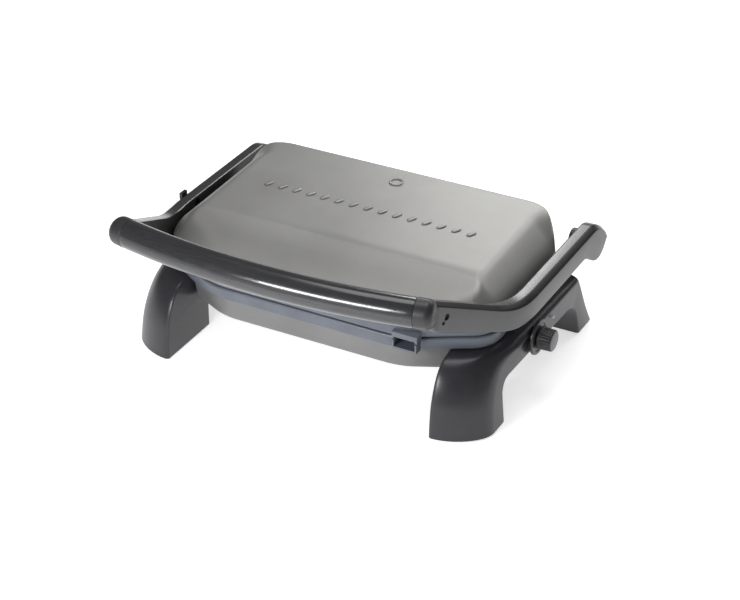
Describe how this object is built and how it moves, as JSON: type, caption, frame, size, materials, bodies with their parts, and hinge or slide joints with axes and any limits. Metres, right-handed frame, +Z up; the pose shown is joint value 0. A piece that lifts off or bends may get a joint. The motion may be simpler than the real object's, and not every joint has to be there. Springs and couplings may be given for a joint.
{
  "type": "panini press",
  "caption": "Countertop contact grill press with a floating ribbed lid, bow handle, side pods with legs, control knob and drain spout.",
  "frame": {"origin": "on the surface it stands on, under the middle of the closed press's bounding box", "axes": "+X to the right seen from the front, along the main hinge; -Y to the front, where the handle is; +Z up"},
  "size_m": [0.3616, 0.312, 0.1533],
  "materials": {
    "lid_grey": "satin silver-grey paint with a fine grain",
    "rim_grey": "bluish grey, satin gloss",
    "tub_grey": "satin warm grey paint",
    "pod_charcoal": "fine-grained charcoal",
    "arm_grey": "fine-grained mid grey",
    "tube_gunmetal": "glossy gunmetal lacquer",
    "cap_black": "satin black",
    "plate_black": "cast, black non-stick coating",
    "bright_steel": "bright",
    "reflector_aluminium": "bright sheet",
    "rubber_black": "matte",
    "mark_grey": "satin",
    "knob_grey": "dark grey with a lighter face"
  },
  "bodies": {
    "base": {"base_tub": "tub_grey", "base_rim": "rim_grey", "lower_plate": "plate_black", "lower_element": "bright_steel", "reflector": "reflector_aluminium", "cable_gland": "rubber_black", "pod_right": "pod_charcoal", "pod_left": "pod_charcoal", "foot_front_right": "rubber_black", "foot_front_left": "rubber_black", "foot_rear_right": "rubber_black", "foot_rear_left": "rubber_black", "hinge_pin_right": "bright_steel", "hinge_pin_left": "bright_steel", "knob_bezel": "cap_black", "thermostat_body": "bright_steel", "pointer_dot": "mark_grey"},
    "arms": {"arm_right": "arm_grey", "arm_left": "arm_grey", "handle_tube": "tube_gunmetal", "handle_cap_right": "cap_black", "handle_cap_left": "cap_black", "handle_screw_right": "bright_steel", "handle_screw_left": "bright_steel"},
    "lid": {"lid_shell": "lid_grey", "lid_rim": "rim_grey", "upper_plate": "plate_black", "upper_element": "bright_steel", "lid_lug_right": "cap_black", "lid_lug_left": "cap_black"},
    "knob": {"knob": "knob_grey", "knob_shaft": "bright_steel"},
    "lock": {"lock_slide": "cap_black"}
  },
  "joints": [
    {"name": "main_hinge", "type": "hinge", "parent": "base", "child": "arms", "pos_m": [-0.00545, 0.1405, 0.0785], "axis": [-1, 0, 0], "range_deg": [0, 180]},
    {"name": "lid_float", "type": "slide", "parent": "arms", "child": "lid", "axis": [0, 0, 1], "range_m": [0, 0.01]},
    {"name": "thermostat_turn", "type": "hinge", "parent": "base", "child": "knob", "pos_m": [0.16455, 0.0165, 0.0505], "axis": [1, 0, 0], "range_deg": [0, 270]},
    {"name": "float_lock", "type": "slide", "parent": "arms", "child": "lock", "axis": [0, -1, 0], "range_m": [0, 0.006]}
  ]
}
